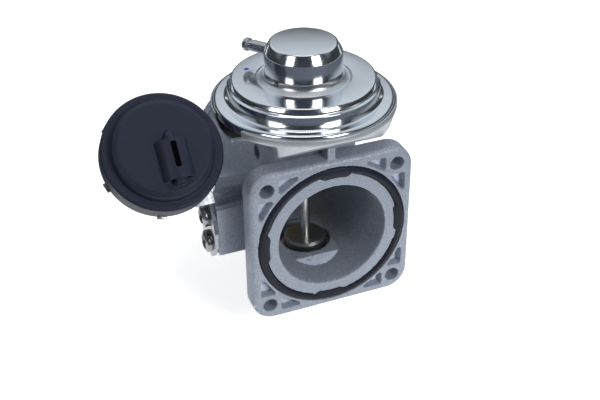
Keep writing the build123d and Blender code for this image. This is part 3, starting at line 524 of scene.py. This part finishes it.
def natural_plastic():
    """Unfilled plastic of the rod's sleeve."""
    finish = Finish("natural_plastic", (0.56, 0.53, 0.46), 0.0, 0.4)
    finish.stain(finish.span(finish.noise(2, 3), 0, 0.5), (0.48, 0.45, 0.38))
    finish.gloss(finish.span(finish.noise(1, 3), 0.35, 0.5))
    finish.relief(finish.noise(0.4, 2), 0.01, 0.5)
    return finish.material


def black_rubber():
    """Moulded rubber with a faint bloom."""
    finish = Finish("black_rubber", (0.008, 0.010, 0.020), 0.0, 0.42)
    finish.shader.inputs["Specular IOR Level"].default_value = 0.28
    finish.stain(finish.span(finish.noise(3, 4), 0, 0.4), (0.014, 0.016, 0.028))
    finish.gloss(finish.span(finish.noise(2, 3), 0.4, 0.54))
    finish.relief(finish.noise(0.5, 3), 0.012, 0.5)
    return finish.material


aluminium = cast_aluminium("cast_aluminium", 1)
# painted light: a lighter copy of the casting for the flange's pockets and the ramp by the seat
painted_light_aluminium = cast_aluminium("painted_light_casting", 2.1)
plating = bright_plating()
sheet = satin_sheet()
zinc = plain_metal("zinc_plate", (0.42, 0.44, 0.47), 0.3, 0.008)
stem_steel = turned_steel("ground_stem", (0.60, 0.59, 0.55), 0.24, 0.5, 0.0015)
disc_steel = turned_steel("turned_disc", (0.48, 0.48, 0.46), 0.3, 0.45, 0.003)
dull_steel = plain_metal("dull_steel", (0.42, 0.42, 0.41), 0.36)
bright_steel = plain_metal("bright_fastener", (0.33, 0.34, 0.36), 0.2, 0.004)
bronze = plain_metal("bush_bronze", (0.45, 0.30, 0.15), 0.42)
brass = plain_metal("flap_brass", (0.66, 0.54, 0.28), 0.36, 0.003)
wire = plain_metal("spring_wire", (0.30, 0.31, 0.33), 0.28)
nipple_steel = plain_metal("nipple_steel", (0.58, 0.60, 0.63), 0.18, 0.004)
moulding = black_moulding()
# painted shade: near-black plastic for the faces inside the hood
hollow = painted_shade_plastic()
sleeve = natural_plastic()
rubber = black_rubber()

# Which finish and record slot each CAD node has
FINISHES = {
    "housing": (aluminium, "cast_aluminium"),
    "flange_o_ring": (rubber, "black_rubber"),
    "valve_seat": (stem_steel, "machined_steel"),
    "valve_disc": (disc_steel, "machined_steel"),
    "valve_stem": (stem_steel, "machined_steel"),
    "stem_guide": (bronze, "guide_bronze"),
    "stem_seal": (rubber, "black_rubber"),
    "seal_cap": (zinc, "zinc_sheet"),
    "can_cradle": (sheet, "zinc_sheet"),
    "lower_can": (zinc, "zinc_sheet"),
    "upper_can": (plating, "chromed_steel"),
    "can_nipple": (nipple_steel, "nipple_steel"),
    "can_screws": (bright_steel, "fastener_steel"),
    "valve_diaphragm": (rubber, "black_rubber"),
    "diaphragm_plate_lower": (zinc, "zinc_sheet"),
    "diaphragm_plate_upper": (zinc, "zinc_sheet"),
    "stem_nut": (bright_steel, "fastener_steel"),
    "valve_spring": (wire, "spring_steel"),
    "flap_shaft": (dull_steel, "machined_steel"),
    "flap_plate": (brass, "flap_brass"),
    "flap_screws": (bright_steel, "fastener_steel"),
    "shaft_bush_left": (bronze, "guide_bronze"),
    "shaft_bush_right": (bronze, "guide_bronze"),
    "shaft_seal": (rubber, "black_rubber"),
    "shaft_plug": (zinc, "zinc_sheet"),
    "flap_lever": (zinc, "lever_steel"),
    "lever_nut": (bright_steel, "fastener_steel"),
    "actuator_bracket": (zinc, "zinc_sheet"),
    "bracket_screws": (bright_steel, "fastener_steel"),
    "actuator_base": (zinc, "zinc_sheet"),
    "actuator_cover": (moulding, "black_plastic"),
    "actuator_nuts": (bright_steel, "fastener_steel"),
    "rod_guide": (sleeve, "guide_plastic"),
    "actuator_diaphragm": (rubber, "black_rubber"),
    "actuator_spring": (wire, "spring_steel"),
    "actuator_piston": (zinc, "zinc_sheet"),
    "actuator_rod": (dull_steel, "machined_steel"),
    "rod_pin": (bright_steel, "machined_steel"),
    "pin_clip": (dull_steel, "fastener_steel"),
}
BODIES = frame["record"]["behaviour"]["bodies"]
BODY_OF = {node: body for body, nodes in BODIES.items() for node in nodes}


def dress(item, node):
    """Give a new piece its node's body and finish, and hide the node that it stands for."""
    finish, slot = FINISHES[node]
    item.data.materials.clear()
    item.data.materials.append(finish)
    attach(item, BODY_OF[node])
    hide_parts(node)
    return item


def keep_node(node):
    """Show a CAD node as it is, with its finish."""
    finish = FINISHES[node][0]
    item = frame["nodes"][node]
    item.data.materials.clear()
    item.data.materials.append(finish)


# Pieces

def can_cover():
    """Stepped, plated cover of the diaphragm can, spun soft at every edge."""
    wall = 1.2
    outside = [
        (41.0, 52.3, 0.3),
        (41.0, 56.5, 1.9),
        (35.7, 56.5, 1.0),
        (34.4, 58.3, 0.8),
        (34.4, 61.7, 0.5),
        (33.4, 62.4, 0.4),
        (33.2, 63.2, 0.5),
        (32.2, 65.0, 1.1),
        (21.6, 65.0, 0.5),
        (21.0, 64.1, 0.5),
        (20.2, 64.1, 1.6),
        (18.2, 66.0, 3.0),
        (17.5, 68.6, 3.0),
        (17.5, 77.0, 2.2),
        (15.0, 81.5, 1.3),
        (0, 81.5, 0),
    ]
    inside = [
        (0, 81.5 - wall, 0),
        (14.2, 81.5 - wall, 0.6),
        (16.3, 76.5, 1.0),
        (16.3, 67.0, 1.0),
        (18.6, 63.0, 0.5),
        (22.0, 63.0, 0.5),
        (22.6, 65.0 - wall, 0.4),
        (31.3, 65.0 - wall, 0.5),
        (32.0, 62.0, 0.3),
        (33.2, 60.8, 0.3),
        (33.2, 57.3, 0.6),
        (34.8, 56.5 - wall, 0.4),
        (39.8, 56.5 - wall, 0.2),
        (39.8, 53.5, 0.2),
        (38.0, 53.5, 0.2),
        (38.0, 52.3, 0.3),
    ]
    return lathe("can_cover", outside + inside, valve_place, 256)


def hose_nipple():
    """Turned hose nipple of the can with one barb."""
    corners = [
        (1.4, 15.6, 0.1),
        (2.65, 15.6, 0.1),
        (2.65, 26.6, 0.3),
        (2.1, 27.1, 0.15),
        (2.1, 27.7, 0.15),
        (3.05, 28.3, 0.25),
        (3.05, 29.9, 0.6),
        (2.2, 31.0, 0.4),
        (1.4, 31.0, 0.2),
    ]
    heading = Matrix.Rotation(radians(NIPPLE_HEADING), 4, "Z")
    lay = Matrix.Translation((0, 0, NIPPLE_Z)) @ Matrix.Rotation(radians(90), 4, "Y")
    return lathe("hose_nipple", corners, valve_place @ heading @ lay, 64)


def gasket():
    """Rubber ring of the square flange, with pads that grip the inner edge of its groove."""
    low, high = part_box("flange_o_ring")
    outer = (high.x - low.x) / 2
    section = (high.y - low.y) / 2
    middle_y = (high.y + low.y) / 2
    radius = outer - section
    shape = bmesh.new()
    columns = []
    for k in range(GASKET_STEPS):
        turn = 2 * pi * k / GASKET_STEPS
        ring = []
        for j in range(GASKET_SIDES):
            a = 2 * pi * j / GASKET_SIDES
            r = radius + section * cos(a)
            ring.append(shape.verts.new((r * cos(turn), middle_y + section * sin(a), r * sin(turn))))
        columns.append(ring)
    close_rings(shape, columns)
    for heading in GASKET_PADS:
        gasket_pad(shape, radians(heading), radius - section * PAD_ROOT, low.y)
    bmesh.ops.recalc_face_normals(shape, faces=shape.faces)
    mesh = bpy.data.meshes.new("ring_gasket")
    shape.to_mesh(mesh)
    shape.free()
    item = add_object("ring_gasket", mesh)
    smooth_shade(item, 50)
    return item


def close_rings(shape, columns, closed=True):
    """Faces between neighbouring rings of points, which meet again or end in caps."""
    pairs = list(zip(columns, columns[1:]))
    if closed:
        pairs.append((columns[-1], columns[0]))
    else:
        shape.faces.new(columns[0])
        shape.faces.new(list(reversed(columns[-1])))
    for left, right in pairs:
        for j in range(len(left)):
            after = (j + 1) % len(left)
            shape.faces.new((left[j], left[after], right[after], right[j]))


def gasket_pad(shape, heading, outer, top):
    """Rounded lug that lies over the edge of the groove."""
    columns = []
    for step in range(PAD_STEPS + 1):
        share = 2 * step / PAD_STEPS - 1
        turn = heading + share * radians(PAD_SPREAD)
        rounding = min(1, PAD_END_RISE * (1 - abs(share)) ** PAD_END_POWER)
        reach = (PAD_REACH * rounding + PAD_LEAST_REACH) * MM
        inner = PAD_GROOVE * MM - reach
        section = [
            (outer, top * PAD_HEIGHT),
            (inner + PAD_SLOPE * MM, top * PAD_HEIGHT),
            (inner, top * PAD_SHOULDER),
            (inner, PAD_SINK * MM),
            (outer, PAD_SINK * MM),
        ]
        columns.append([shape.verts.new((r * cos(turn), y, r * sin(turn))) for r, y in section])
    close_rings(shape, columns, closed=False)


def paint_light_on_recesses(item):
    """Give the flange's pockets and the ramp by the seat a lighter copy of the casting's finish: painted
    light that brightens faces the lamps leave in shade.
    """
    item.data.materials.append(painted_light_aluminium)
    for face in item.data.polygons:
        x, y, z = face.center / MM
        facing = face.normal
        within = max(abs(x), abs(z)) < POCKET_REACH and (x * x + z * z) ** 0.5 > POCKET_RADIUS
        pocket = within and POCKET_LIP < y < POCKET_FLOOR and facing.y < POCKET_FACING
        low_front = RAMP_FRONT < y < RAMP_BACK and z < RAMP_TOP
        ramp = low_front and facing.y < RAMP_FACING and facing.z > RAMP_UPWARD
        if pocket or ramp:
            face.material_index = 1


def shade_hollow(item):
    """Give the faces inside the cover's hood the near-black finish of painted shade."""
    item.data.materials.append(hollow)
    local = actuator_place.inverted()
    arch = Vector((HOOD_X, COVER_FACE + HOOD_HEIGHT - HOOD_RADIUS))
    pipe = Vector((HOOD_X, COVER_FACE + PIPE_RISE))
    for face in item.data.polygons:
        x, y, z = local @ (face.center / MM)
        across = Vector((x, z))
        beside = abs(x - HOOD_X) < HOOD_RADIUS - HOOD_SIDE_WALL
        under = (across - arch).length < HOOD_RADIUS - HOOD_WALL and z > COVER_FACE - HOLLOW_DEPTH
        along = HOOD_BOTTOM + HOOD_WALL < y < HOOD_TOP - HOOD_END_WALL
        pipe_end = y < HOOD_BOTTOM + PIPE_END and (across - pipe).length < PIPE_RADIUS + PIPE_MARGIN
        if beside and under and along and not pipe_end:
            face.material_index = 1


def keep_faces(item, wanted):
    """Delete the faces that a test of their middle point doesn't want, and close the cut."""
    shape = bmesh.new()
    shape.from_mesh(item.data)
    unwanted = [face for face in shape.faces if not wanted(face.calc_center_median())]
    bmesh.ops.delete(shape, geom=unwanted, context="FACES")
    bmesh.ops.bridge_loops(shape, edges=[edge for edge in shape.edges if edge.is_boundary])
    bmesh.ops.recalc_face_normals(shape, faces=shape.faces)
    shape.to_mesh(item.data)
    shape.free()


def clamped_middle(node, carrier, axis):
    """Middle of a diaphragm, riding on the plates that clamp it. Gives back the test for the rest of it."""
    low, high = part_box(carrier)
    centre = (low + high) / 2

    def inside(point):
        away = point - centre
        return (away - axis * away.dot(axis)).length < CLAMP_RADIUS * MM

    item = dress(welded_copy(node + "_middle", node), node)
    keep_faces(item, inside)
    smooth_shade(item, 40)
    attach(item, BODY_OF[carrier])
    return lambda point: not inside(point)


def yielding(node, rest=None):
    """Copy of a spring or diaphragm on a mesh of its own, less any middle that rides with the clamping
    plates.
    """
    item = dress(welded_copy(node + "_piece", node), node)
    if rest:
        keep_faces(item, rest)
    smooth_shade(item, 40)
    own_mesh(item)


# Springs and diaphragms, the joint that works each of them, and the axis of its travel
UPWARD = Vector((0, 0, 1))
ACTUATOR_AXIS = Vector((0, -sin(radians(ACTUATOR_TILT)), cos(radians(ACTUATOR_TILT))))
YIELDING = {
    "valve_spring": ("valve_lift", UPWARD),
    "valve_diaphragm": ("valve_lift", UPWARD),
    "actuator_spring": ("actuator_stroke", ACTUATOR_AXIS),
    "actuator_diaphragm": ("actuator_stroke", ACTUATOR_AXIS),
}
CLAMPED_BY = {"valve_diaphragm": "diaphragm_plate_lower"}

# Bevels of the small pieces, in millimetres
EDGES = {
    "bracket_screws": 0.25,
    "actuator_bracket": 0.35,
    "actuator_base": 0.3,
    "actuator_nuts": 0.25,
    "lever_nut": 0.3,
    "flap_lever": 0.3,
    "flap_shaft": 0.2,
    "flap_screws": 0.15,
    "actuator_rod": 0.25,
    "rod_pin": 0.2,
    "pin_clip": 0.1,
    "rod_guide": 0.2,
    "shaft_plug": 0.2,
    "shaft_seal": 0.2,
    "stem_guide": 0.2,
}

dress(can_cover(), "upper_can")
dress(gasket(), "flange_o_ring")
dress(hose_nipple(), "can_nipple")
paint_light_on_recesses(dress(moulded("cast_body", "housing", *CASTING_GRID), "housing"))
dress(moulded("carrier_cup", "can_cradle", *CUP_GRID), "can_cradle")
shade_hollow(dress(moulded("cover_moulding", "actuator_cover", *COVER_GRID), "actuator_cover"))
for node, (joint, axis) in YIELDING.items():
    rest = None
    if node in CLAMPED_BY:
        rest = clamped_middle(node, CLAMPED_BY[node], axis)
    yielding(node, rest)
for node, width in EDGES.items():
    dress(edged(node + "_piece", node, width), node)

shaped = {"upper_can", "flange_o_ring", "can_nipple", "housing", "can_cradle", "actuator_cover"}
for node in FINISHES:
    if node not in shaped | set(YIELDING) | set(EDGES):
        keep_node(node)


# Floor, light and camera

def floor_material():
    """Pale floor that shows white to the eye and in polished metal, and keeps its shadow."""
    material = bpy.data.materials.new("pale_floor")
    material.use_nodes = True
    nodes = material.node_tree.nodes
    links = material.node_tree.links
    shader = nodes["Principled BSDF"]
    shader.inputs["Base Color"].default_value = (FLOOR_COLOUR, FLOOR_COLOUR, FLOOR_COLOUR, 1)
    shader.inputs["Roughness"].default_value = 0.9
    shader.inputs["Emission Color"].default_value = (1, 1, 1, 1)
    path = nodes.new("ShaderNodeLightPath")
    seen = path.outputs["Is Camera Ray"]
    for ray in ("Is Glossy Ray", "Is Transmission Ray"):
        either = nodes.new("ShaderNodeMath")
        either.operation = "MAXIMUM"
        links.new(seen, either.inputs[0])
        links.new(path.outputs[ray], either.inputs[1])
        seen = either.outputs["Value"]
    share = nodes.new("ShaderNodeMath")
    share.operation = "MULTIPLY"
    links.new(seen, share.inputs[0])
    share.inputs[1].default_value = FLOOR_LIFT
    links.new(share.outputs["Value"], shader.inputs["Emission Strength"])
    return material


def floor():
    """Plain pale floor that the lowest face of the part stands on."""
    lowest = cad_box[0].z
    shape = bmesh.new()
    bmesh.ops.create_circle(shape, cap_ends=True, radius=FLOOR_RADIUS, segments=96)
    bmesh.ops.translate(shape, vec=(0, 0, lowest), verts=shape.verts)
    mesh = bpy.data.meshes.new("floor")
    shape.to_mesh(mesh)
    shape.free()
    item = add_object("floor", mesh)
    mesh.materials.append(floor_material())


def softbox(name, azimuth, elevation, distance, width, height, power, mirrored):
    """Rectangular lamp that faces the part, seen in polished metal where it is mirrored."""
    lamp = bpy.data.lights.new(name, "AREA")
    lamp.shape = "RECTANGLE"
    lamp.size = width
    lamp.size_y = height
    lamp.energy = power
    item = bpy.data.objects.new(name, lamp)
    toward = direction(azimuth, elevation)
    item.location = Vector((0, VALVE_Y * MM, LAMP_AIM)) + toward * distance
    item.rotation_mode = "QUATERNION"
    item.rotation_quaternion = toward.to_track_quat("Z", "Y")
    item.visible_camera = False
    item.visible_glossy = mirrored
    bpy.context.scene.collection.objects.link(item)


def dark_card(name, middle, spread, points, shade):
    """Dark cloth seen in polished metal only, as a photographer sets it.

    Its (radius, height) points in metres are swept round the part over a spread of headings to each side of
    the middle one.
    """
    shape = bmesh.new()
    columns = []
    for step in range(CARD_STEPS + 1):
        side = direction(middle - spread + 2 * spread * step / CARD_STEPS, 0)
        columns.append([shape.verts.new((side.x * r, side.y * r + VALVE_Y * MM, z)) for r, z in points])
    for left, right in zip(columns, columns[1:]):
        for low in range(len(points) - 1):
            shape.faces.new((left[low], right[low], right[low + 1], left[low + 1]))
    mesh = bpy.data.meshes.new(name)
    shape.to_mesh(mesh)
    shape.free()
    item = add_object(name, mesh)
    material = bpy.data.materials.new("dark_cloth")
    material.use_nodes = True
    shader = material.node_tree.nodes["Principled BSDF"]
    shader.inputs["Base Color"].default_value = (*(shade * tint for tint in CARD_TINT), 1)
    shader.inputs["Roughness"].default_value = 0.9
    mesh.materials.append(material)
    item.visible_camera = False
    item.visible_diffuse = False
    item.visible_shadow = False


def surroundings(tree):
    """Grey room, dark near the horizon, bright above and brightest behind the part.

    The camera itself sees white paper past the floor.
    """
    nodes = tree.nodes
    links = tree.links
    toward = nodes.new("ShaderNodeTexCoord").outputs["Generated"]
    split = nodes.new("ShaderNodeSeparateXYZ")
    links.new(toward, split.inputs["Vector"])
    level = nodes.new("ShaderNodeMapRange")
    level.interpolation_type = "SMOOTHSTEP"
    level.inputs["From Min"].default_value = HORIZON_SINE
    level.inputs["From Max"].default_value = HIGH_SINE
    level.inputs["To Min"].default_value = HORIZON_LEVEL
    level.inputs["To Max"].default_value = HIGH_LEVEL
    links.new(split.outputs["Z"], level.inputs["Value"])
    behind = nodes.new("ShaderNodeVectorMath")
    behind.operation = "DOT_PRODUCT"
    behind.inputs[1].default_value = direction(CAMERA_AZIMUTH + 180, 0)
    links.new(toward, behind.inputs[0])
    share = nodes.new("ShaderNodeMapRange")
    share.interpolation_type = "SMOOTHSTEP"
    share.inputs["From Min"].default_value = SHARE_START
    share.inputs["From Max"].default_value = SHARE_END
    share.inputs["To Min"].default_value = FRONT_SHARE
    share.inputs["To Max"].default_value = 1
    links.new(behind.outputs["Value"], share.inputs["Value"])
    strength = nodes.new("ShaderNodeMath")
    strength.operation = "MULTIPLY"
    links.new(level.outputs["Result"], strength.inputs[0])
    links.new(share.outputs["Result"], strength.inputs[1])
    room = nodes["Background"]
    room.inputs["Color"].default_value = (*SURROUNDINGS, 1)
    links.new(strength.outputs["Value"], room.inputs["Strength"])
    paper = nodes.new("ShaderNodeBackground")
    paper.inputs["Color"].default_value = (1, 1, 1, 1)
    seen = nodes.new("ShaderNodeMixShader")
    path = nodes.new("ShaderNodeLightPath")
    links.new(path.outputs["Is Camera Ray"], seen.inputs["Fac"])
    links.new(room.outputs["Background"], seen.inputs[1])
    links.new(paper.outputs["Background"], seen.inputs[2])
    links.new(seen.outputs["Shader"], nodes["World Output"].inputs["Surface"])


def studio():
    """Grey room with softboxes, and dark cards that give polished metal its contrast."""
    scene = bpy.context.scene
    scene.view_settings.view_transform = "Standard"
    world = bpy.data.worlds.new("studio")
    world.use_nodes = True
    scene.world = world
    surroundings(world.node_tree)
    for name, (turn, *settings) in SOFTBOXES.items():
        softbox(name, CAMERA_AZIMUTH + turn, *settings)
    floor_top = cad_box[0].z + CARD_LIFT
    table_corners = ((TABLE_CARD_INNER, floor_top), (CARD_RADIUS, floor_top))
    dark_card("front_card", CAMERA_AZIMUTH, FRONT_CARD_SPREAD, FRONT_CARD_CORNERS, FRONT_CARD_SHADE)
    dark_card("table_card", CAMERA_AZIMUTH, 180, table_corners, TABLE_CARD_SHADE)


def camera():
    """Camera at the photograph's place."""
    back = direction(CAMERA_AZIMUTH, CAMERA_ELEVATION)
    side = direction(CAMERA_AZIMUTH + 90, 0)
    upward = back.cross(side)
    roll = radians(CAMERA_ROLL)
    right = side * cos(roll) + upward * sin(roll)
    top = upward * cos(roll) - side * sin(roll)
    data = bpy.data.cameras.new("camera")
    data.sensor_width = SENSOR_WIDTH
    data.lens = CAMERA_LENS
    data.clip_start = 0.01
    data.clip_end = 20
    item = bpy.data.objects.new("camera", data)
    place = right * CAMERA_SIDE + top * CAMERA_RISE + back * CAMERA_DISTANCE
    matrix = Matrix((right, top, back)).transposed().to_4x4()
    matrix.translation = place * MM
    item.matrix_world = matrix
    bpy.context.scene.collection.objects.link(item)
    bpy.context.scene.camera = item


floor()
studio()
camera()

bpy.context.view_layer.update()
